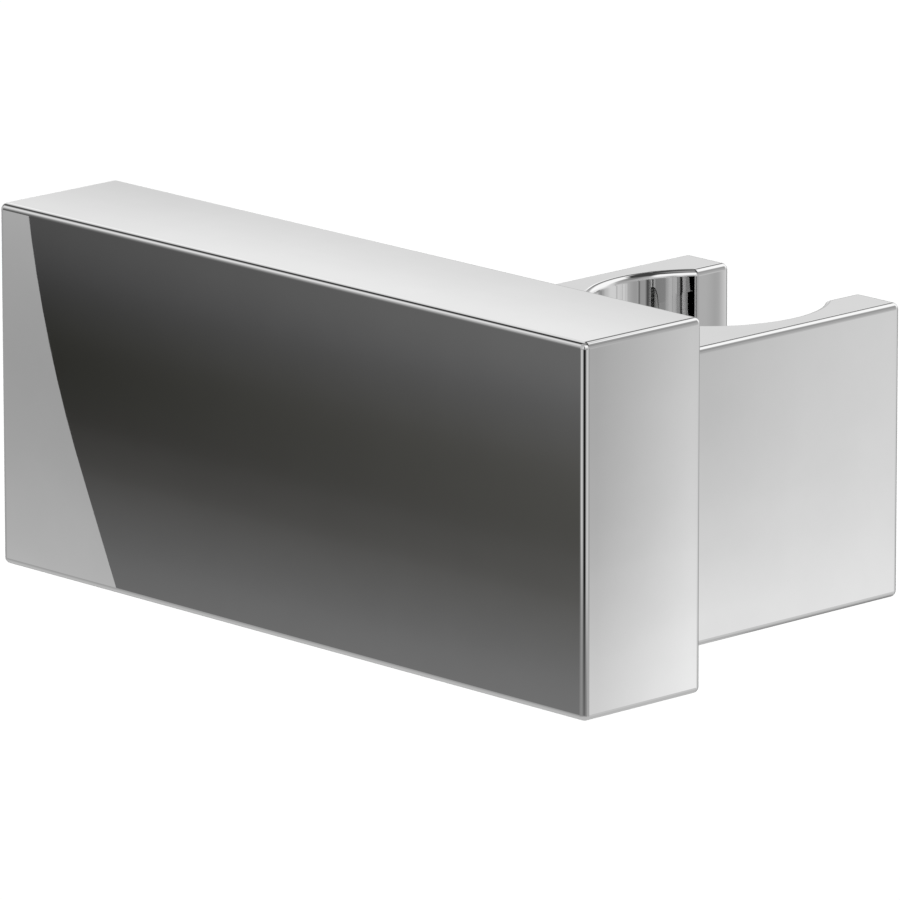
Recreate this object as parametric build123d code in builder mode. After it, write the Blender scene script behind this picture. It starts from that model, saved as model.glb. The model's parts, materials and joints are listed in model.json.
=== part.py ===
from build123d import *
import math
import os

# Square wall holder for a hand shower: an arm that stands out from the wall, and on its side
# near the outer end a fork that tilts on a friction pivot and takes the shower's conical end.
# The origin is the middle of the arm's wall end. +Y points into the wall and +Z up, the arm
# runs along -Y, and the fork sits on the arm's +X side. All sizes are in millimetres.

# Arm, a casting that is hollow from its wall end
arm_length = 90.2
arm_width = 16.9
arm_height = 40.0
edge_radius = 0.7
arm_side_wall = 2.4
arm_top_wall = 3.0
hollow_depth = 54.0
hollow_corner = 2.0

# Fork, with an upright hole that is open to one side
fork_height = 31.9
fork_end_inset = 2.4
fork_web = 5.85
prong_wall = 3.4
prong_reach = 13.0
bore_radius = 12.45
entry_depth = 14.0
throat_depth = 3.0
seat_taper = 1.3
seat_blend = 5.0
lip_overlap = 2.95

# Tilt, the same way up and down, stopped by a pin in a curved slot
tilt_limit = 30.0
stop_angle = 45.0
stop_pin_radius = 1.25
stop_pin_seat = 5.0
stop_slot_depth = 2.2
stop_slot_wall = 1.0
stop_clearance = 0.2

# Pivot stack, each thickness along the tilt axis
face_washer_thickness = 0.4
gland_length = 4.2
bush_flange_thickness = 0.8
spindle_flange_thickness = 2.0
friction_disc_thickness = 1.2
thrust_washer_thickness = 0.8
disc_spring_height = 1.2
disc_spring_thickness = 0.6

# Pivot stack, radii
gland_radius = 11.0
gland_step = 1.0
stack_clearance = 0.4
spindle_radius = 7.0
bush_wall = 0.95
tail_radius = 4.0
tail_gap = 0.4
face_washer_gap = 0.5
running_clearance = 0.05
thread_clearance = 0.05
washer_clearance = 0.15

# Seal ring in the mouth of the gland ring
seal_section = 1.6
seal_clearance = 0.3
seal_seat = 0.1

# Slots across the gland ring's face for the spanner that turns it
spanner_slot_width = 2.0
spanner_slot_depth = 1.2

# Square nose that keys the spindle into the fork
nose_width = 9.0
nose_length = 2.0
nose_corner = 1.0
nose_clearance = 0.1

# Countersunk screw from inside the fork's hole into the spindle
screw_radius = 2.0
screw_head_radius = 3.8
screw_head_rim = 0.3
screw_sink = 0.4
screw_length = 12.0
screw_socket = 2.5
screw_socket_depth = 1.4
screw_clearance = 0.15
screw_tip_room = 1.0

# Wall bracket, a shallow tray that plugs into the hollow arm
bracket_depth = 14.0
bracket_base = 3.0
bracket_side_wall = 1.8
bracket_top_wall = 2.0
bracket_boss = 3.5
bracket_clearance = 0.15
wall_screw_spacing = 18.0
wall_screw_hole_radius = 2.3

# Grub screw from below, which locks the arm on the bracket
grub_radius = 2.0
grub_from_wall = 9.5
grub_recess = 0.3
grub_tip_radius = 0.5
grub_socket = 2.0
grub_socket_depth = 1.8
grub_seat_clearance = 0.05

small_chamfer = 0.3

# Places worked out from the sizes
arm_side = arm_width / 2
fork_width = 2 * (bore_radius + prong_wall)
fork_back = arm_side + face_washer_thickness
bore_x = fork_back + fork_web + bore_radius
fork_end = bore_x + prong_reach
fork_top = fork_height / 2
pivot_y = -(arm_length - fork_end_inset - fork_width / 2)
mouth_half = bore_radius - lip_overlap
throat_radius = bore_radius - seat_taper
seat_slope = seat_taper / (fork_height - entry_depth - throat_depth)
bore_radius_at_pivot = bore_radius - seat_slope * (fork_top - entry_depth)

# Faces of the pivot stack, from the arm's side inwards
gland_inner = arm_side - gland_length
flange_outer = gland_inner - bush_flange_thickness
flange_inner = flange_outer - spindle_flange_thickness
thrust_outer = flange_inner - friction_disc_thickness
spring_outer = thrust_outer - thrust_washer_thickness
pocket_floor = spring_outer - 2 * disc_spring_height
tail_end = pocket_floor + tail_gap
nose_end = fork_back + nose_length

# Radii of the pivot stack
pocket_radius = gland_radius - gland_step
stack_radius = pocket_radius - stack_clearance
bush_inner = spindle_radius + running_clearance
bush_outer = bush_inner + bush_wall
gland_bore = bush_outer + running_clearance
washer_bore = tail_radius + washer_clearance
seal_ring_radius = spindle_radius + seal_clearance + seal_section / 2
seal_groove_radius = seal_ring_radius + seal_section / 2 + seal_seat
seal_groove_depth = seal_section + seal_seat

# Head of the fork screw, sunk under the wall of the hole
head_top = bore_x - bore_radius_at_pivot - screw_sink
head_base = head_top - screw_head_rim - (screw_head_radius - screw_radius)
screw_tip = head_top - screw_length

# The slot's highest point at the end of the tilt stays a wall's thickness inside the fork
slot_half = stop_pin_radius + stop_clearance
stop_radius = (fork_top - stop_slot_wall - slot_half) / math.sin(math.radians(stop_angle + tilt_limit))

# Planes: across the tilt axis, and through it for turned pieces
pivot_axis = Axis((0, pivot_y, 0), (1, 0, 0))
across_pivot = Plane(origin=(0, pivot_y, 0), x_dir=(0, 1, 0), z_dir=(1, 0, 0))
along_pivot = Plane(origin=(0, pivot_y, 0), x_dir=(1, 0, 0), z_dir=(0, 0, 1))
stop_place = Location(
    (
        stop_radius * math.cos(math.radians(stop_angle)),
        stop_radius * math.sin(math.radians(stop_angle)),
    )
)

os.makedirs("parts", exist_ok=True)


def flat_ring(start, thickness, outer, inner):
    """A flat washer round the tilt axis, from start outwards."""
    with BuildPart() as ring:
        with BuildSketch(across_pivot.offset(start)):
            Circle(outer)
            Circle(inner, mode=Mode.SUBTRACT)
        extrude(amount=thickness)
    return ring.part


def disc_spring(start, wide_end_first):
    """A conical spring washer, with its wide rim at start or at its far end."""
    slope = disc_spring_height - disc_spring_thickness
    rim = 0 if wide_end_first else slope
    eye = slope - rim
    with BuildPart() as washer:
        with BuildSketch(along_pivot):
            with BuildLine():
                Polyline(
                    (start + rim, stack_radius),
                    (start + rim + disc_spring_thickness, stack_radius),
                    (start + eye + disc_spring_thickness, washer_bore),
                    (start + eye, washer_bore),
                    close=True,
                )
            make_face()
        revolve(axis=pivot_axis)
    return washer.part


# Arm: a block with softened edges, cored from the wall end, with the pivot's pocket in its side
with BuildPart() as arm_body:
    with BuildSketch(Plane.XZ):
        Rectangle(arm_width, arm_height)
    extrude(amount=arm_length)
    fillet(arm_body.edges(), edge_radius)
    with BuildSketch(Plane.XZ):
        RectangleRounded(arm_width - 2 * arm_side_wall, arm_height - 2 * arm_top_wall, hollow_corner)
    extrude(amount=hollow_depth, mode=Mode.SUBTRACT)
    with BuildSketch(across_pivot.offset(arm_side)):
        Circle(gland_radius + thread_clearance)
    extrude(amount=-gland_length, mode=Mode.SUBTRACT)
    with BuildSketch(across_pivot.offset(gland_inner)):
        Circle(pocket_radius)
    extrude(amount=pocket_floor - gland_inner, mode=Mode.SUBTRACT)
    with BuildSketch(across_pivot.offset(arm_side)):
        with Locations(stop_place):
            Circle(stop_pin_radius)
    extrude(amount=-stop_pin_seat, mode=Mode.SUBTRACT)
    with BuildSketch(Plane.XY.offset(-arm_height / 2)):
        with Locations((0, -grub_from_wall)):
            Circle(grub_radius + thread_clearance)
    extrude(amount=arm_top_wall, mode=Mode.SUBTRACT)
arm_body.part.label = "arm_body"
export_step(arm_body.part, "parts/arm_body.step")

# Fork: a block with an upright hole that is open at its side. The hole is straight at the top,
# then tapers smoothly to a short straight throat, so that a cone seats in it.
with BuildPart() as holder_fork:
    with BuildSketch(Plane.XY.offset(-fork_top)):
        with Locations(((fork_back + fork_end) / 2, pivot_y)):
            Rectangle(fork_end - fork_back, fork_width)
    extrude(amount=fork_height)
    with BuildSketch(Plane(origin=(bore_x, pivot_y, 0), x_dir=(1, 0, 0), z_dir=(0, -1, 0))):
        with BuildLine():
            FilletPolyline(
                (throat_radius, -fork_top),
                (throat_radius, throat_depth - fork_top),
                (bore_radius, fork_top - entry_depth),
                (bore_radius, fork_top),
                radius=seat_blend,
            )
            Polyline((bore_radius, fork_top), (0, fork_top), (0, -fork_top), (throat_radius, -fork_top))
        make_face()
    revolve(axis=Axis((bore_x, pivot_y, 0), (0, 0, 1)), mode=Mode.SUBTRACT)
    with BuildSketch(Plane.XY.offset(-fork_top)):
        with Locations((bore_x + prong_reach / 2, pivot_y)):
            Rectangle(prong_reach, 2 * mouth_half)
    extrude(amount=fork_height, mode=Mode.SUBTRACT)
    fillet(holder_fork.edges().filter_by(lambda edge: abs(edge.tangent_at(0.5).Z) > 0.5), edge_radius)
    fillet(holder_fork.faces().sort_by(Axis.Z)[-1].edges(), edge_radius)
    fillet(holder_fork.faces().sort_by(Axis.Z)[0].edges(), edge_radius)
    with BuildSketch(across_pivot.offset(fork_back)):
        RectangleRounded(nose_width + 2 * nose_clearance, nose_width + 2 * nose_clearance, nose_corner)
    extrude(amount=nose_length + nose_clearance, mode=Mode.SUBTRACT)
    with BuildSketch(along_pivot):
        with BuildLine():
            Polyline(
                (fork_back, 0),
                (fork_back, screw_radius + screw_clearance),
                (head_base - screw_clearance, screw_radius + screw_clearance),
                (head_top - screw_head_rim - screw_clearance, screw_head_radius + screw_clearance),
                (bore_x - mouth_half, screw_head_radius + screw_clearance),
                (bore_x - mouth_half, 0),
                close=True,
            )
        make_face()
    revolve(axis=pivot_axis, mode=Mode.SUBTRACT)
    with BuildSketch(across_pivot.offset(fork_back)):
        with BuildLine() as slot_path:
            CenterArc((0, 0), stop_radius, stop_angle - tilt_limit, 2 * tilt_limit)
        SlotArc(slot_path.edge(), 2 * slot_half)
    extrude(amount=stop_slot_depth, mode=Mode.SUBTRACT)
holder_fork.part.label = "holder_fork"
export_step(holder_fork.part, "parts/holder_fork.step")

# Spindle: turned, with a flange that the springs press outwards and a square nose for the fork
with BuildPart() as pivot_spindle:
    with BuildSketch(along_pivot):
        with BuildLine():
            Polyline(
                (tail_end, 0),
                (tail_end, tail_radius),
                (flange_inner, tail_radius),
                (flange_inner, stack_radius),
                (flange_outer, stack_radius),
                (flange_outer, spindle_radius),
                (fork_back, spindle_radius),
                (fork_back, 0),
                close=True,
            )
        make_face()
    revolve(axis=pivot_axis)
    with BuildSketch(across_pivot.offset(fork_back)):
        RectangleRounded(nose_width, nose_width, nose_corner)
    extrude(amount=nose_length)
    chamfer(pivot_spindle.faces().sort_by(Axis.X)[0].edges(), small_chamfer)
    with BuildSketch(across_pivot.offset(nose_end)):
        Circle(screw_radius + thread_clearance)
    extrude(amount=screw_tip - screw_tip_room - nose_end, mode=Mode.SUBTRACT)
pivot_spindle.part.label = "pivot_spindle"
export_step(pivot_spindle.part, "parts/pivot_spindle.step")

# Gland ring: closes the pocket flush with the arm's side and keeps the spindle in
with BuildPart() as gland_ring:
    with BuildSketch(along_pivot):
        with BuildLine():
            Polyline(
                (gland_inner, gland_bore),
                (gland_inner, gland_radius),
                (arm_side, gland_radius),
                (arm_side, seal_groove_radius),
                (arm_side - seal_groove_depth, seal_groove_radius),
                (arm_side - seal_groove_depth, gland_bore),
                close=True,
            )
        make_face()
    revolve(axis=pivot_axis)
    with BuildSketch(across_pivot.offset(arm_side)):
        for turn in (0, 90):
            Rectangle(2 * gland_radius + spanner_slot_width, spanner_slot_width, rotation=turn)
    extrude(amount=-spanner_slot_depth, mode=Mode.SUBTRACT)
gland_ring.part.label = "gland_ring"
export_step(gland_ring.part, "parts/gland_ring.step")

# Bush: plastic sleeve with a flange, between the spindle and the gland ring
with BuildPart() as pivot_bush:
    with BuildSketch(along_pivot):
        with BuildLine():
            Polyline(
                (flange_outer, bush_inner),
                (flange_outer, stack_radius),
                (gland_inner, stack_radius),
                (gland_inner, bush_outer),
                (arm_side - seal_groove_depth, bush_outer),
                (arm_side - seal_groove_depth, bush_inner),
                close=True,
            )
        make_face()
    revolve(axis=pivot_axis)
pivot_bush.part.label = "pivot_bush"
export_step(pivot_bush.part, "parts/pivot_bush.step")

# Seal ring: square section, in the groove at the gland ring's mouth
with BuildPart() as seal_ring:
    with BuildSketch(along_pivot):
        with Locations((arm_side - seal_groove_depth + seal_section / 2, seal_ring_radius)):
            Rectangle(seal_section, seal_section)
    revolve(axis=pivot_axis)
seal_ring.part.label = "seal_ring"
export_step(seal_ring.part, "parts/seal_ring.step")

# Friction disc, thrust washer and the two conical springs, from the flange inwards
friction_disc = flat_ring(thrust_outer, friction_disc_thickness, stack_radius, washer_bore)
friction_disc.label = "friction_disc"
export_step(friction_disc, "parts/friction_disc.step")

thrust_washer = flat_ring(spring_outer, thrust_washer_thickness, stack_radius, washer_bore)
thrust_washer.label = "thrust_washer"
export_step(thrust_washer, "parts/thrust_washer.step")

outer_spring = disc_spring(spring_outer - disc_spring_height, wide_end_first=False)
outer_spring.label = "disc_spring_outer"
export_step(outer_spring, "parts/disc_spring_outer.step")

inner_spring = disc_spring(pocket_floor, wide_end_first=True)
inner_spring.label = "disc_spring_inner"
export_step(inner_spring, "parts/disc_spring_inner.step")

# Face washer: thin and slippery, between the arm's side and the fork
face_washer_radius = stop_radius - stop_pin_radius - face_washer_gap
face_washer = flat_ring(
    arm_side, face_washer_thickness, face_washer_radius, spindle_radius + washer_clearance
)
face_washer.label = "face_washer"
export_step(face_washer, "parts/face_washer.step")

# Stop pin: pressed into the arm's side, its head runs in the fork's curved slot
with BuildPart() as stop_pin:
    with BuildSketch(across_pivot.offset(arm_side - stop_pin_seat)):
        with Locations(stop_place):
            Circle(stop_pin_radius)
    extrude(amount=stop_pin_seat + face_washer_thickness + stop_slot_depth - stop_clearance)
    chamfer(stop_pin.faces().sort_by(Axis.X)[-1].edges(), small_chamfer)
    chamfer(stop_pin.faces().sort_by(Axis.X)[0].edges(), small_chamfer)
stop_pin.part.label = "stop_pin"
export_step(stop_pin.part, "parts/stop_pin.step")

# Fork screw: countersunk, with a hexagon socket
with BuildPart() as fork_screw:
    with BuildSketch(along_pivot):
        with BuildLine():
            Polyline(
                (screw_tip, 0),
                (screw_tip, screw_radius - small_chamfer),
                (screw_tip + small_chamfer, screw_radius),
                (head_base, screw_radius),
                (head_top - screw_head_rim, screw_head_radius),
                (head_top, screw_head_radius),
                (head_top, 0),
                close=True,
            )
        make_face()
    revolve(axis=pivot_axis)
    with BuildSketch(across_pivot.offset(head_top)):
        RegularPolygon(screw_socket / 2, 6, major_radius=False)
    extrude(amount=-screw_socket_depth, mode=Mode.SUBTRACT)
fork_screw.part.label = "fork_screw"
export_step(fork_screw.part, "parts/fork_screw.step")

# Wall bracket: a tray whose back is screwed to the wall, with a boss below for the grub screw
bracket_width = arm_width - 2 * (arm_side_wall + bracket_clearance)
bracket_height = arm_height - 2 * (arm_top_wall + bracket_clearance)
tray_width = bracket_width - 2 * bracket_side_wall
tray_bottom = -bracket_height / 2 + bracket_boss
tray_top = bracket_height / 2 - bracket_top_wall
dimple_floor = -bracket_height / 2 + grub_seat_clearance + grub_radius - grub_tip_radius
with BuildPart() as wall_bracket:
    with BuildSketch(Plane.XZ):
        RectangleRounded(bracket_width, bracket_height, hollow_corner - bracket_clearance)
    extrude(amount=bracket_depth)
    with BuildSketch(Plane.XZ.offset(bracket_base)):
        with Locations((0, (tray_bottom + tray_top) / 2)):
            RectangleRounded(tray_width, tray_top - tray_bottom, hollow_corner / 2)
    extrude(amount=bracket_depth - bracket_base, mode=Mode.SUBTRACT)
    with BuildSketch(Plane.XZ):
        with Locations((0, -wall_screw_spacing / 2), (0, wall_screw_spacing / 2)):
            Circle(wall_screw_hole_radius)
    extrude(amount=bracket_base, mode=Mode.SUBTRACT)
    with BuildSketch(Plane(origin=(0, -grub_from_wall, 0), x_dir=(1, 0, 0), z_dir=(0, -1, 0))):
        with BuildLine():
            Polyline(
                (0, -bracket_height / 2),
                (grub_radius + grub_seat_clearance, -bracket_height / 2),
                (grub_tip_radius, dimple_floor),
                (0, dimple_floor),
                close=True,
            )
        make_face()
    revolve(axis=Axis((0, -grub_from_wall, 0), (0, 0, 1)), mode=Mode.SUBTRACT)
wall_bracket.part.label = "wall_bracket"
export_step(wall_bracket.part, "parts/wall_bracket.step")

# Grub screw: its cone sits in the dimple of the bracket's boss
grub_cone = -bracket_height / 2 - grub_seat_clearance
with BuildPart() as bracket_grub_screw:
    with BuildSketch(Plane(origin=(0, -grub_from_wall, 0), x_dir=(1, 0, 0), z_dir=(0, -1, 0))):
        with BuildLine():
            Polyline(
                (0, -arm_height / 2 + grub_recess),
                (grub_radius, -arm_height / 2 + grub_recess),
                (grub_radius, grub_cone),
                (grub_tip_radius, grub_cone + grub_radius - grub_tip_radius),
                (0, grub_cone + grub_radius - grub_tip_radius),
                close=True,
            )
        make_face()
    revolve(axis=Axis((0, -grub_from_wall, 0), (0, 0, 1)))
    with BuildSketch(Plane.XY.offset(-arm_height / 2 + grub_recess)):
        with Locations((0, -grub_from_wall)):
            RegularPolygon(grub_socket / 2, 6, major_radius=False)
    extrude(amount=grub_socket_depth, mode=Mode.SUBTRACT)
bracket_grub_screw.part.label = "bracket_grub_screw"
export_step(bracket_grub_screw.part, "parts/bracket_grub_screw.step")
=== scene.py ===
import bpy
import json
import math
from mathutils import Matrix, Vector

# Square holder for a hand shower, chrome all over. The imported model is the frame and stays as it
# is: this script gives each node its material and builds the studio round it. The scene is in
# metres, with +Z up, the wall in the plane Y = 0 and the arm along -Y. The cards of the studio are
# laid out in millimetres. Angles are in degrees, and azimuth 0 lies along -Y and 90 along +X.

MM = 0.001

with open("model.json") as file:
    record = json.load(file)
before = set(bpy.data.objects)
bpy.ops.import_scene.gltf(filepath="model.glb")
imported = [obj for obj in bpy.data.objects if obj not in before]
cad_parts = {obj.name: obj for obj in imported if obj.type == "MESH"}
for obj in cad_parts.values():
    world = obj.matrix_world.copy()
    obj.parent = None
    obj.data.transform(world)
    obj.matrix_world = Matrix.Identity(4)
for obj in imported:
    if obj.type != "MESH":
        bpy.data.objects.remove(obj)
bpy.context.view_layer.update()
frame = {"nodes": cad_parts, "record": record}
nodes = frame["nodes"]
collection = bpy.context.scene.collection

# Camera, fitted to the photograph
camera_azimuth = -43.562
camera_elevation = 14.059
camera_roll = -0.085
camera_distance = 1190.5 * MM
camera_right = -0.26 * MM
camera_up = -3.379 * MM
camera_aim = Vector((15.85 * MM, -45.1 * MM, 0.0))
camera_lens = 447.5
sensor_width = 36.0
clip_start, clip_end = 0.01, 100.0

# Levels of light, where 1 is white, and the one lamp
white = 1.0
ambient = 0.62
lamp_strength = 1.45
lamp_width = 18
lamp_azimuth, lamp_elevation = 60, 60

# Floor, in metres
floor_height = -0.15
floor_reach = 6.0
floor_paint = 0.8
floor_lift = 0.22

# Finish of the plating
chrome_light = (0.83, 0.83, 0.83)
chrome_dark = (0.813, 0.813, 0.813)

# Marks in every finish: the noise values between which colour and roughness go from one end to the
# other, the clouds that a bare metal has to the metre, and the depth of its unevenness
tint_low, tint_high = 0.35, 0.65
rough_low, rough_high = 0.3, 0.7
cloud_scale = 90
wave_depth = 0.01 * MM
mark_depth = 0.02 * MM


def towards(azimuth, elevation):
    """Unit vector from the object towards these angles."""
    turn, rise = math.radians(azimuth), math.radians(elevation)
    return Vector((math.sin(turn) * math.cos(rise), -math.cos(turn) * math.cos(rise), math.sin(rise)))


def make_camera():
    """The photograph's camera: it looks along its angles, then is shifted and rolled a little."""
    data = bpy.data.cameras.new("camera")
    data.lens, data.sensor_width = camera_lens, sensor_width
    data.clip_start, data.clip_end = clip_start, clip_end
    camera = bpy.data.objects.new("camera", data)
    collection.objects.link(camera)
    back = towards(camera_azimuth, camera_elevation)
    level_right = Vector((-back.y, back.x, 0.0)).normalized()
    level_up = back.cross(level_right)
    roll = math.radians(camera_roll)
    right = level_right * math.cos(roll) + level_up * math.sin(roll)
    up = back.cross(right)
    place = camera_aim + back * camera_distance + right * camera_right + up * camera_up
    camera.matrix_world = Matrix((
        (right.x, up.x, back.x, place.x),
        (right.y, up.y, back.y, place.y),
        (right.z, up.z, back.z, place.z),
        (0.0, 0.0, 0.0, 1.0),
    ))
    bpy.context.scene.camera = camera


# Nodes that several materials use

# Sockets of the Mix node that are for colours, by their number
mix_first, mix_second, mix_result = 6, 7, 2


def gradient(tree, factor, stops, interpolation="LINEAR"):
    """Colour by a factor from 0 to 1. A stop is a place and a grey or a colour."""
    node = tree.nodes.new("ShaderNodeValToRGB")
    node.color_ramp.interpolation = interpolation
    elements = node.color_ramp.elements
    while len(elements) < len(stops):
        elements.new(0.5)
    for element, (place, shade) in zip(elements, stops):
        element.position = place
        element.color = (*shade, 1) if isinstance(shade, tuple) else (shade, shade, shade, 1)
    tree.links.new(factor, node.inputs["Fac"])
    return node.outputs["Color"]


def blend(tree, factor, first, second):
    """Goes from one tone to another with a factor. A tone is a socket or a plain grey."""
    mix = tree.nodes.new("ShaderNodeMix")
    mix.data_type = "RGBA"
    tree.links.new(factor, mix.inputs["Factor"])
    for socket, tone in ((mix.inputs[mix_first], first), (mix.inputs[mix_second], second)):
        if isinstance(tone, float):
            socket.default_value = (tone, tone, tone, 1)
        else:
            tree.links.new(tone, socket)
    return mix.outputs[mix_result]


def blend_shaders(tree, factor, first, second):
    """Goes from one shader to another with a factor."""
    mix = tree.nodes.new("ShaderNodeMixShader")
    tree.links.new(factor, mix.inputs["Fac"])
    tree.links.new(first, mix.inputs[1])
    tree.links.new(second, mix.inputs[2])
    return mix.outputs["Shader"]


def emission(tree, colour, level=white):
    """Light of a colour, at a level."""
    node = tree.nodes.new("ShaderNodeEmission")
    node.inputs["Strength"].default_value = level
    tree.links.new(colour, node.inputs["Color"])
    return node.outputs["Emission"]


def set_surface(tree, shader):
    """Makes a shader the surface of the tree's material."""
    out = tree.nodes.new("ShaderNodeOutputMaterial")
    tree.links.new(shader, out.inputs["Surface"])


def bare_material(name):
    """A material and its node tree, which is still empty."""
    material = bpy.data.materials.new(name)
    material.use_nodes = True
    material.node_tree.nodes.clear()
    return material, material.node_tree


# Materials of the object

def shaded_material(name):
    """A material with its node tree and its shader."""
    material = bpy.data.materials.new(name)
    material.use_nodes = True
    tree = material.node_tree
    return material, tree, tree.nodes["Principled BSDF"]


def object_noise(tree, scale, detail, roughness=0.5, stretch=(1, 1, 1)):
    """Noise in the object's own coordinates. scale is in features per metre."""
    place = tree.nodes.new("ShaderNodeTexCoord")
    mapping = tree.nodes.new("ShaderNodeMapping")
    mapping.inputs["Scale"].default_value = stretch
    noise = tree.nodes.new("ShaderNodeTexNoise")
    noise.inputs["Scale"].default_value = scale
    noise.inputs["Detail"].default_value = detail
    noise.inputs["Roughness"].default_value = roughness
    tree.links.new(place.outputs["Object"], mapping.inputs["Vector"])
    tree.links.new(mapping.outputs["Vector"], noise.inputs["Vector"])
    return noise.outputs["Fac"]


def tint(tree, noise, dark, light):
    """Colour from dark to light with the noise."""
    return gradient(tree, noise, ((tint_low, dark), (tint_high, light)))


def spread(tree, noise, low, high):
    """Roughness from low to high with the noise."""
    node = tree.nodes.new("ShaderNodeMapRange")
    node.inputs["From Min"].default_value = rough_low
    node.inputs["From Max"].default_value = rough_high
    node.inputs["To Min"].default_value = low
    node.inputs["To Max"].default_value = high
    tree.links.new(noise, node.inputs["Value"])
    return node.outputs["Result"]


def bump(tree, noise, strength, distance):
    """Normal of a surface that the noise makes uneven."""
    node = tree.nodes.new("ShaderNodeBump")
    node.inputs["Strength"].default_value = strength
    node.inputs["Distance"].default_value = distance
    tree.links.new(noise, node.inputs["Height"])
    return node.outputs["Normal"]


def polished_chrome(name):
    """Mirror plating: a faint film of marks in its gloss, and a wave too shallow to see."""
    material, tree, shader = shaded_material(name)
    film = object_noise(tree, scale=140, detail=6, roughness=0.6)
    wave = object_noise(tree, scale=60, detail=1)
    shader.inputs["Metallic"].default_value = 1.0
    tree.links.new(tint(tree, film, chrome_dark, chrome_light), shader.inputs["Base Color"])
    tree.links.new(spread(tree, film, low=0.002, high=0.008), shader.inputs["Roughness"])
    tree.links.new(bump(tree, wave, strength=0.02, distance=wave_depth), shader.inputs["Normal"])
    return material


def metal(name, dark, light, gloss, scale, stretch, strength):
    """A bare metal whose gloss follows its machining or casting marks, and its colour a cloud."""
    material, tree, shader = shaded_material(name)
    marks = object_noise(tree, scale, detail=4, roughness=0.6, stretch=stretch)
    cloud = object_noise(tree, cloud_scale, detail=3)
    shader.inputs["Metallic"].default_value = 1.0
    tree.links.new(tint(tree, cloud, dark, light), shader.inputs["Base Color"])
    tree.links.new(spread(tree, marks, *gloss), shader.inputs["Roughness"])
    tree.links.new(bump(tree, marks, strength, mark_depth), shader.inputs["Normal"])
    return material


def soft_material(name, dark, light, gloss, scale, strength):
    """A plastic or a rubber, a little uneven in colour and gloss."""
    material, tree, shader = shaded_material(name)
    grain = object_noise(tree, scale, detail=4)
    tree.links.new(tint(tree, grain, dark, light), shader.inputs["Base Color"])
    tree.links.new(spread(tree, grain, *gloss), shader.inputs["Roughness"])
    tree.links.new(bump(tree, grain, strength, mark_depth), shader.inputs["Normal"])
    return material


finishes = {
    "polished_chrome": polished_chrome("polished_chrome"),
    "turned_brass": metal(
        "turned_brass", dark=(0.62, 0.45, 0.20), light=(0.80, 0.63, 0.33), gloss=(0.16, 0.32),
        scale=900, stretch=(6, 1, 1), strength=0.25,
    ),
    "cast_zinc": metal(
        "cast_zinc", dark=(0.42, 0.43, 0.44), light=(0.60, 0.61, 0.62), gloss=(0.38, 0.60),
        scale=1400, stretch=(1, 1, 1), strength=0.6,
    ),
    "stainless_steel": metal(
        "stainless_steel", dark=(0.60, 0.60, 0.59), light=(0.74, 0.74, 0.73), gloss=(0.08, 0.18),
        scale=700, stretch=(1, 1, 5), strength=0.05,
    ),
    "slip_plastic": soft_material(
        "slip_plastic", dark=(0.78, 0.78, 0.75), light=(0.88, 0.88, 0.86), gloss=(0.35, 0.5),
        scale=700, strength=0.2,
    ),
    "seal_rubber": soft_material(
        "seal_rubber", dark=(0.015, 0.015, 0.016), light=(0.05, 0.05, 0.05), gloss=(0.45, 0.65),
        scale=900, strength=0.4,
    ),
}

for part in frame["record"]["subparts"]:
    for slot in nodes[part["node"]].material_slots:
        slot.material = finishes[part["material_slot"]]


# Studio: cards and a tent that only mirror-like surfaces see, then the lamp, the floor and the world

# Stops that are black or plain all along or go evenly across, and the outline of a whole card
black = ((0.0, 0.0), (1.0, 0.0))
plain = ((0.0, 1.0), (1.0, 1.0))
across_evenly = ((0.0, 0.0), (1.0, 1.0))
rectangle = ((0, 0), (1, 0), (1, 1), (0, 1))

centre = camera_aim / MM


def shares(stops, span):
    """Turns stops given by a place in a span into stops from 0 to 1."""
    start, end = span
    return tuple(((place - start) / (end - start), shade) for place, shade in stops)


def card_material(name, across, start, end, level, fade):
    """Emission that goes over a card from one upward gradient to another, and fades out at its sides.

    The card shows start where across is 0, and end where it is 1. The stops of all three run over the
    card's own 0 to 1 coordinates, and a stop is a grey or a colour. fade is the share of the card's
    width and height over which its sides go from clear to full.
    """
    material, tree = bare_material(name)
    place = tree.nodes.new("ShaderNodeTexCoord")
    split = tree.nodes.new("ShaderNodeSeparateXYZ")
    tree.links.new(place.outputs["UV"], split.inputs["Vector"])

    def tone(axis, stops):
        return gradient(tree, split.outputs[axis], stops, "LINEAR" if len(stops) == 2 else "CARDINAL")

    def times(first, second):
        node = tree.nodes.new("ShaderNodeVectorMath")
        node.operation = "MULTIPLY"
        tree.links.new(first, node.inputs[0])
        tree.links.new(second, node.inputs[1])
        return node.outputs["Vector"]

    light = emission(tree, blend(tree, tone("X", across), tone("Y", start), tone("Y", end)), level)
    if not any(fade):
        set_surface(tree, light)
        return material
    sides = [
        tone(axis, ((0.0, 0.0), (share, 1.0), (1.0 - share, 1.0), (1.0, 0.0)))
        for axis, share in zip("XY", fade) if share
    ]
    cover = sides[0] if len(sides) == 1 else times(*sides)
    clear = tree.nodes.new("ShaderNodeBsdfTransparent")
    set_surface(tree, blend_shaders(tree, cover, clear.outputs["BSDF"], light))
    return material


def show_in_reflections(thing):
    """Keeps a thing out of everything but reflections."""
    thing.visible_camera = False
    thing.visible_diffuse = False
    thing.visible_shadow = False
    thing.visible_transmission = False


def reflected_only(name, mesh):
    """Puts a mesh in the studio for reflections alone."""
    thing = bpy.data.objects.new(name, mesh)
    collection.objects.link(thing)
    show_in_reflections(thing)


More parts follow.
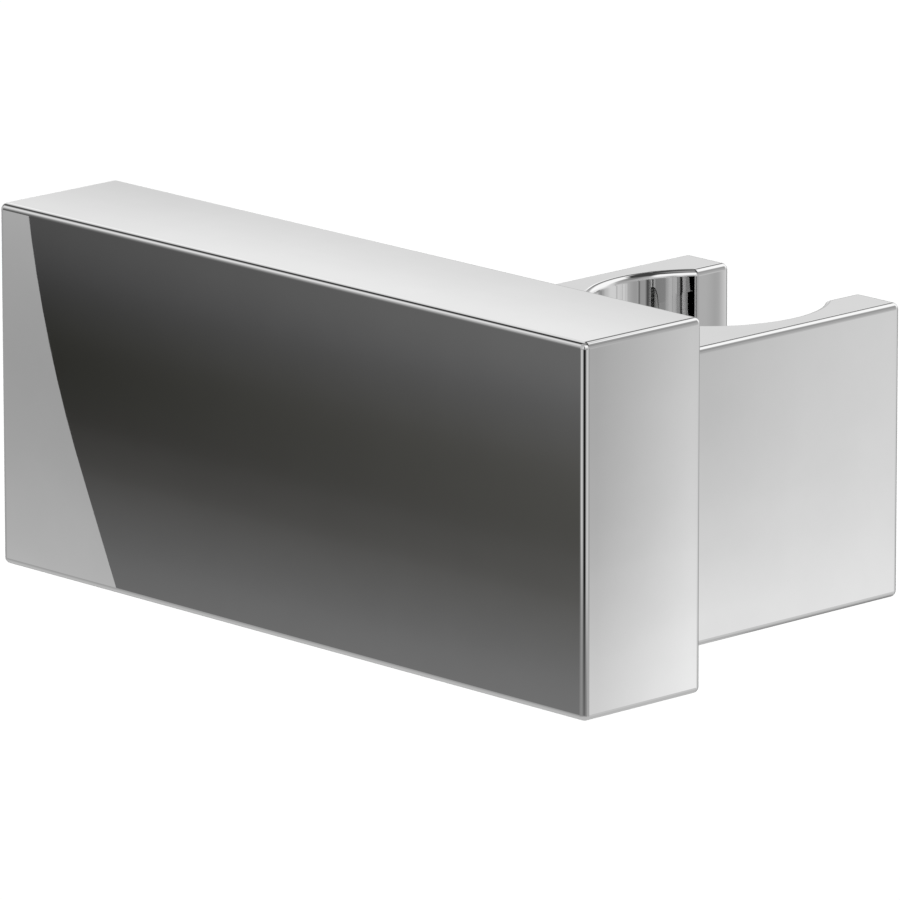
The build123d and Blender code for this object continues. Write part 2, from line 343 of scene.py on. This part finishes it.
def make_card(
    name, corner, across, up,
    stops_across=plain, start=black, end=plain, level=white, fade=(0, 0), outline=rectangle,
):
    """A flat card, seen in reflections alone, from its corner and two sides in millimetres.

    outline gives its edge by points in its own 0 to 1 coordinates.
    """
    corner, across, up = Vector(corner), Vector(across), Vector(up)
    points = [(corner + across * u + up * v) * MM for u, v in outline]
    mesh = bpy.data.meshes.new(name)
    mesh.from_pydata(points, [], [tuple(range(len(points)))])
    layer = mesh.uv_layers.new(name="UVMap")
    for loop, uv in zip(layer.data, outline):
        loop.uv = uv
    mesh.materials.append(card_material(name, stops_across, start, end, level, fade))
    reflected_only(name, mesh)


def square_card(name, facing, at, across, up, **look):
    """A card square to an axis, at a place on it. across and up are its spans on the other two."""
    axis = "XYZ".index(facing)
    corner = [across[0], up[0]]
    width = [across[1] - across[0], 0]
    height = [0, up[1] - up[0]]
    corner.insert(axis, at)
    width.insert(axis, 0)
    height.insert(axis, 0)
    make_card(name, corner, width, height, **look)


def facing_card(name, direction, distance, width, height, **look):
    """A card that faces the object from a direction, upright or nearly so."""
    out = Vector(direction).normalized()
    across = Vector((-out.y, out.x, 0.0)).normalized()
    up = out.cross(across)
    middle = centre + out * distance
    make_card(name, middle - across * width / 2 - up * height / 2, across * width, up * height, **look)


# What the arm's broad side shows: a dark card with a curved end, and a pale one behind it
dark_x, pale_x = -300, -310
dark_across, dark_up = (190, 340), (-160, 140)
arc_middle = (185.3, -58.7)
arc_radius = 142.9
arc_foot = -118
arc_steps = 60
dark_start = (
    (-150, 0.235), (-138, 0.215), (-129, 0.18), (-119, (0.125, 0.124, 0.120)),
    (-112, (0.098, 0.097, 0.092)), (-106, (0.090, 0.089, 0.083)), (-98, (0.105, 0.104, 0.099)),
    (-90, 0.134), (-83, 0.165), (-66, 0.15), (-50, 0.135), (-10, 0.19), (34, 0.27), (90, 0.45), (130, 0.62),
)
dark_end = (
    (-150, 0.19), (-138, 0.168), (-129, 0.127), (-119, (0.070, 0.069, 0.067)),
    (-112, (0.037, 0.036, 0.034)), (-106, (0.025, 0.025, 0.022)), (-98, (0.026, 0.026, 0.023)),
    (-90, 0.047), (-83, 0.073), (-66, 0.08), (-50, 0.075), (-10, 0.10), (34, 0.15), (90, 0.25), (130, 0.34),
)
pale_across, pale_up = (280, 440), (-180, 0)
pale_tones = (
    (-160, 0.66), (-140, 0.55), (-125, 0.455), (-110, 0.40), (-95, 0.42), (-80, 0.48), (-50, 0.50),
)


def arc_end():
    """Outline of the dark card: its end is upright, then an arc, then straight from the arc's foot down."""
    near, far = dark_across
    low, high = dark_up
    points = [(0, 1), (0, 0)]
    for step in range(arc_steps + 1):
        height = low + step * (high - low) / arc_steps
        fall = min(max(height, arc_foot) - arc_middle[1], 0)
        chord = math.sqrt(arc_radius ** 2 - fall ** 2)
        reach = arc_middle[0] + chord - fall / chord * min(height - arc_foot, 0)
        points.append(((reach - near) / (far - near), (height - low) / (high - low)))
    return points


square_card(
    "dark_card", "X", dark_x, dark_across, dark_up, stops_across=across_evenly,
    start=shares(dark_start, dark_up), end=shares(dark_end, dark_up), outline=arc_end(),
)
square_card("pale_card", "X", pale_x, pale_across, pale_up, end=shares(pale_tones, pale_up))

# What the arm's end, the fork's outer side and the far lip of its mouth show, from left to right
front_y = -400
arm_across, arm_up = (292, 318), (-145, -80)
arm_shift = ((296, 0.0), (315, 1.0))
arm_start = ((-137, 0.74), (-128, 0.66), (-118, 0.575), (-112, 0.53), (-104, 0.50), (-88, 0.465))
arm_end = (
    (-137, 1.0), (-128, 0.92), (-118, 0.83), (-112, 0.78), (-104, 0.74), (-95, 0.71), (-87, 0.675),
)
fork_across, fork_up = (318.5, 365), (-140, -85)
fork_shift = ((323, 0.0), (332, 0.32), (340, 0.58), (350, 0.80), (361, 1.0))
fork_start = ((-133, 0.89), (-129, 0.87), (-122, 0.785), (-114, 0.705), (-105, 0.64), (-93, 0.595))
fork_end = ((-133, 0.925), (-124, 0.865), (-116, 0.82), (-108, 0.783), (-93, 0.745))
lip_across, lip_up = (370, 381), (-110, -85)
lip_tones = ((373, 0.49), (374.4, 0.45), (375.3, 0.44), (376, 0.50), (377, 0.67), (378, 0.76))

square_card(
    "end_card", "Y", front_y, arm_across, arm_up,
    stops_across=shares(arm_shift, arm_across),
    start=shares(arm_start, arm_up), end=shares(arm_end, arm_up),
)
square_card(
    "fork_card", "Y", front_y, fork_across, fork_up,
    stops_across=shares(fork_shift, fork_across),
    start=shares(fork_start, fork_up), end=shares(fork_end, fork_up),
)
square_card("lip_card", "Y", front_y, lip_across, lip_up, stops_across=shares(lip_tones, lip_across))

# What the tops show: brightest near the arm's outer end, a little darker towards the wall and the
# fork. The lit strip above it shows where the tops begin to round over.
top_z = 150
top_across, top_up = (350, 450), (250, 450)
top_tones_across = (
    (372, 1.0), (377, 0.97), (382, 0.93), (387, 0.89), (391, 0.86), (410, 0.83), (440, 0.84),
)
top_tones_up = ((310, 1.0), (350, 1.0), (390, 0.98), (425, 0.92))

square_card(
    "top_card", "Z", top_z, top_across, top_up, level=0.94,
    stops_across=shares(top_tones_across, top_across), end=shares(top_tones_up, top_up),
)
facing_card(
    "lit_strip", (0.60, 0.70, 0.36), distance=520, width=260, height=60, level=1.3, fade=(0.1, 0.3),
)

# Two soft boxes above the camera and to its right, one near it and one a good way round
box_distance = 600
box_height = 440
box_level = 1.15

facing_card(
    "left_softbox", towards(-15, 40), distance=box_distance, width=590, height=box_height,
    level=box_level, fade=(0.12, 0.15),
)
facing_card(
    "right_softbox", towards(87, 32), distance=box_distance, width=520, height=box_height,
    level=box_level, fade=(0.2, 0.1),
)

# What the fork's lower edge shows: a level card below it, skewed to follow the edge's reflections,
# which darkens towards the wall
make_card(
    "under_card", corner=(84, -124, -100), across=(38, 0, 0), up=(34, 136, 0),
    stops_across=across_evenly,
    start=((0.0, 0.50), (0.2, 0.44), (0.5, 0.34), (1.0, 0.25)),
    end=((0.0, 0.44), (0.2, 0.36), (0.5, 0.20), (1.0, 0.06)),
    fade=(0.06, 0.06),
)

# What the arm's near upright edge shows: a bent card with a dark middle, dimmer towards its foot
band_radius = 400
band_turn = (-124, 8)
band_up = (-131, -10)
band_steps = 24
band_across = (
    (-124, 0.05), (-103, 0.60), (-81, 0.62), (-64, 0.17), (-51, 0.0), (-42, 0.0), (-30, 0.20),
    (-14, 0.66), (8, 0.62),
)
band_tones = ((-118, 0.52), (-112, 0.58), (-106, 0.74), (-101, 0.90), (-94, 1.0))


def make_band():
    """An upright card bent round the object, in the same coordinates as the flat ones."""
    left, right = band_turn
    rims = []
    for step in range(band_steps + 1):
        out = towards(left + (right - left) * step / band_steps, 0) * band_radius + centre
        rims.append([(out.x * MM, out.y * MM, height * MM) for height in band_up])
    mesh = bpy.data.meshes.new("band")
    mesh.from_pydata(
        [point for rim in rims for point in rim], [],
        [(2 * step, 2 * step + 2, 2 * step + 3, 2 * step + 1) for step in range(band_steps)],
    )
    layer = mesh.uv_layers.new(name="UVMap")
    for loop in mesh.loops:
        column, top = divmod(loop.vertex_index, 2)
        layer.data[loop.index].uv = (column / band_steps, top)
    mesh.materials.append(card_material(
        "band", shares(band_across, band_turn), black, shares(band_tones, band_up), white, fade=(0, 0.28),
    ))
    return mesh


reflected_only("band", make_band())

# Tones of the tent by azimuth, in four rings from low to high. The middle and the high ring are dark
# near -50, which carries the band's dark middle on to the arm's near corner.
all_round = (-180, 180)
tent_low = (
    (-180, 0.40), (-140, 0.40), (-120, 0.28), (0, 0.28), (10, 0.58), (29, 0.38), (52, 0.72), (53, 0.45),
    (55, 0.75), (62, 0.75), (70, 0.60), (78, 0.38), (105, 0.35), (143, 0.50), (147, 0.03), (152, 0.03),
    (155, 0.45), (160, 0.45), (163, 0.08), (170, 0.40),
)
tent_middle = (
    (-180, 0.50), (-143, 0.60), (-137, 0.50), (-60, 0.75), (-53, 0.02), (-45, 0.02), (-38, 0.95),
    (-28, 0.50), (-18, 0.80), (-10, 0.50), (0, 0.75), (22, 0.50), (50, 0.45), (60, 0.75), (75, 1.0),
    (98, 1.0), (113, 0.50), (131, 0.45), (141, 0.90), (160, 0.80), (180, 0.50),
)
tent_high = (
    (-180, 0.08), (-166, 0.12), (-147, 0.88), (-125, 0.60), (-75, 0.60), (-61, 0.95), (-54, 0.02),
    (-46, 0.02), (-39, 0.95), (6, 1.0), (20, 0.45), (36, 0.25), (58, 0.40), (65, 0.85), (75, 1.0),
    (98, 1.0), (112, 0.45), (120, 0.22), (132, 0.22), (142, 0.95), (158, 0.80), (180, 0.10),
)
tent_ceiling = (
    (-180, 0.04), (-162, 0.04), (-146, 0.50), (-80, 0.50), (-40, 0.75), (-20, 0.40), (8, 0.06),
    (125, 0.06), (142, 0.80), (161, 0.80), (176, 0.04), (180, 0.04),
)
tent_ground = 0.56
tent_crown = 0.32
tent_radius = 900
tent_segments, tent_rows = 96, 48

# Elevations between which the tent goes from one ring to the next
ground_to_low = (-45, -22)
low_to_middle = (-6, 8)
middle_to_high = (18, 28)
high_to_ceiling = (36, 48)
ceiling_to_crown = (62, 76)


def make_tent():
    """A sphere round the object, seen in reflections alone, that stands for the walls of the studio."""
    bpy.ops.mesh.primitive_uv_sphere_add(
        segments=tent_segments, ring_count=tent_rows, radius=tent_radius * MM, location=camera_aim,
    )
    tent = bpy.context.object
    tent.name = "tent"
    material, tree = bare_material("tent")
    place = tree.nodes.new("ShaderNodeTexCoord")
    split = tree.nodes.new("ShaderNodeSeparateXYZ")
    tree.links.new(place.outputs["Object"], split.inputs["Vector"])
    back = tree.nodes.new("ShaderNodeMath")
    back.operation = "MULTIPLY"
    back.inputs[1].default_value = -1.0
    tree.links.new(split.outputs["Y"], back.inputs[0])
    turn = tree.nodes.new("ShaderNodeMath")
    turn.operation = "ARCTAN2"
    tree.links.new(split.outputs["X"], turn.inputs[0])
    tree.links.new(back.outputs["Value"], turn.inputs[1])
    share = tree.nodes.new("ShaderNodeMapRange")
    share.inputs["From Min"].default_value = -math.pi
    share.inputs["From Max"].default_value = math.pi
    tree.links.new(turn.outputs["Value"], share.inputs["Value"])

    def ring(stops):
        """Tone by azimuth."""
        return gradient(tree, share.outputs["Result"], shares(stops, all_round), "EASE")

    def rise(elevations, below, above):
        """Goes from one tone to the next between two elevations."""
        low, high = (tent_radius * MM * math.sin(math.radians(angle)) for angle in elevations)
        step = tree.nodes.new("ShaderNodeMapRange")
        step.interpolation_type = "SMOOTHSTEP"
        step.inputs["From Min"].default_value = low
        step.inputs["From Max"].default_value = high
        tree.links.new(split.outputs["Z"], step.inputs["Value"])
        return blend(tree, step.outputs["Result"], below, above)

    tone = rise(ground_to_low, tent_ground, ring(tent_low))
    tone = rise(low_to_middle, tone, ring(tent_middle))
    tone = rise(middle_to_high, tone, ring(tent_high))
    tone = rise(high_to_ceiling, tone, ring(tent_ceiling))
    tone = rise(ceiling_to_crown, tone, tent_crown)
    set_surface(tree, emission(tree, tone))
    tent.data.materials.append(material)
    show_in_reflections(tent)


def make_floor():
    """A white floor that takes the object's shadow, and is clear when it is looked at from below."""
    mesh = bpy.data.meshes.new("floor")
    reach = floor_reach
    corners = [(-reach, -reach), (reach, -reach), (reach, reach), (-reach, reach)]
    mesh.from_pydata([(*corner, floor_height) for corner in corners], [], [(0, 1, 2, 3)])
    floor = bpy.data.objects.new("floor", mesh)
    collection.objects.link(floor)
    material, tree = bare_material("floor")
    paint = tree.nodes.new("ShaderNodeBsdfDiffuse")
    paint.inputs["Color"].default_value = (floor_paint, floor_paint, floor_paint, 1)
    lift = tree.nodes.new("ShaderNodeEmission")
    lift.inputs["Strength"].default_value = floor_lift
    both = tree.nodes.new("ShaderNodeAddShader")
    tree.links.new(paint.outputs["BSDF"], both.inputs[0])
    tree.links.new(lift.outputs["Emission"], both.inputs[1])
    clear = tree.nodes.new("ShaderNodeBsdfTransparent")
    side = tree.nodes.new("ShaderNodeNewGeometry")
    set_surface(tree, blend_shaders(
        tree, side.outputs["Backfacing"], both.outputs["Shader"], clear.outputs["BSDF"],
    ))
    mesh.materials.append(material)
    floor.visible_glossy = False


def make_world():
    """White to the camera and in reflections, and a plain ambient light on matt surfaces."""
    world = bpy.data.worlds.new("studio")
    bpy.context.scene.world = world
    world.use_nodes = True
    tree = world.node_tree
    tree.nodes.clear()
    path = tree.nodes.new("ShaderNodeLightPath")
    seen = path.outputs["Is Camera Ray"]
    for name in ("Is Glossy Ray", "Is Transmission Ray"):
        either = tree.nodes.new("ShaderNodeMath")
        either.operation = "MAXIMUM"
        tree.links.new(seen, either.inputs[0])
        tree.links.new(path.outputs[name], either.inputs[1])
        seen = either.outputs["Value"]
    light = tree.nodes.new("ShaderNodeBackground")
    light.inputs["Strength"].default_value = ambient
    bright = tree.nodes.new("ShaderNodeBackground")
    bright.inputs["Strength"].default_value = white
    for node in (light, bright):
        node.inputs["Color"].default_value = (1, 1, 1, 1)
    out = tree.nodes.new("ShaderNodeOutputWorld")
    surface = blend_shaders(tree, seen, light.outputs["Background"], bright.outputs["Background"])
    tree.links.new(surface, out.inputs["Surface"])


def make_lamp():
    """A wide soft lamp, far enough off to light object and floor evenly."""
    data = bpy.data.lights.new("key_lamp", "SUN")
    data.energy = lamp_strength
    data.angle = math.radians(lamp_width)
    lamp = bpy.data.objects.new("key_lamp", data)
    collection.objects.link(lamp)
    lamp.rotation_mode = "QUATERNION"
    lamp.rotation_quaternion = towards(lamp_azimuth, lamp_elevation).to_track_quat("Z", "Y")
    lamp.visible_camera = False
    lamp.visible_glossy = False


make_tent()
make_lamp()
make_floor()
make_world()
make_camera()
bpy.context.scene.view_settings.view_transform = "Standard"
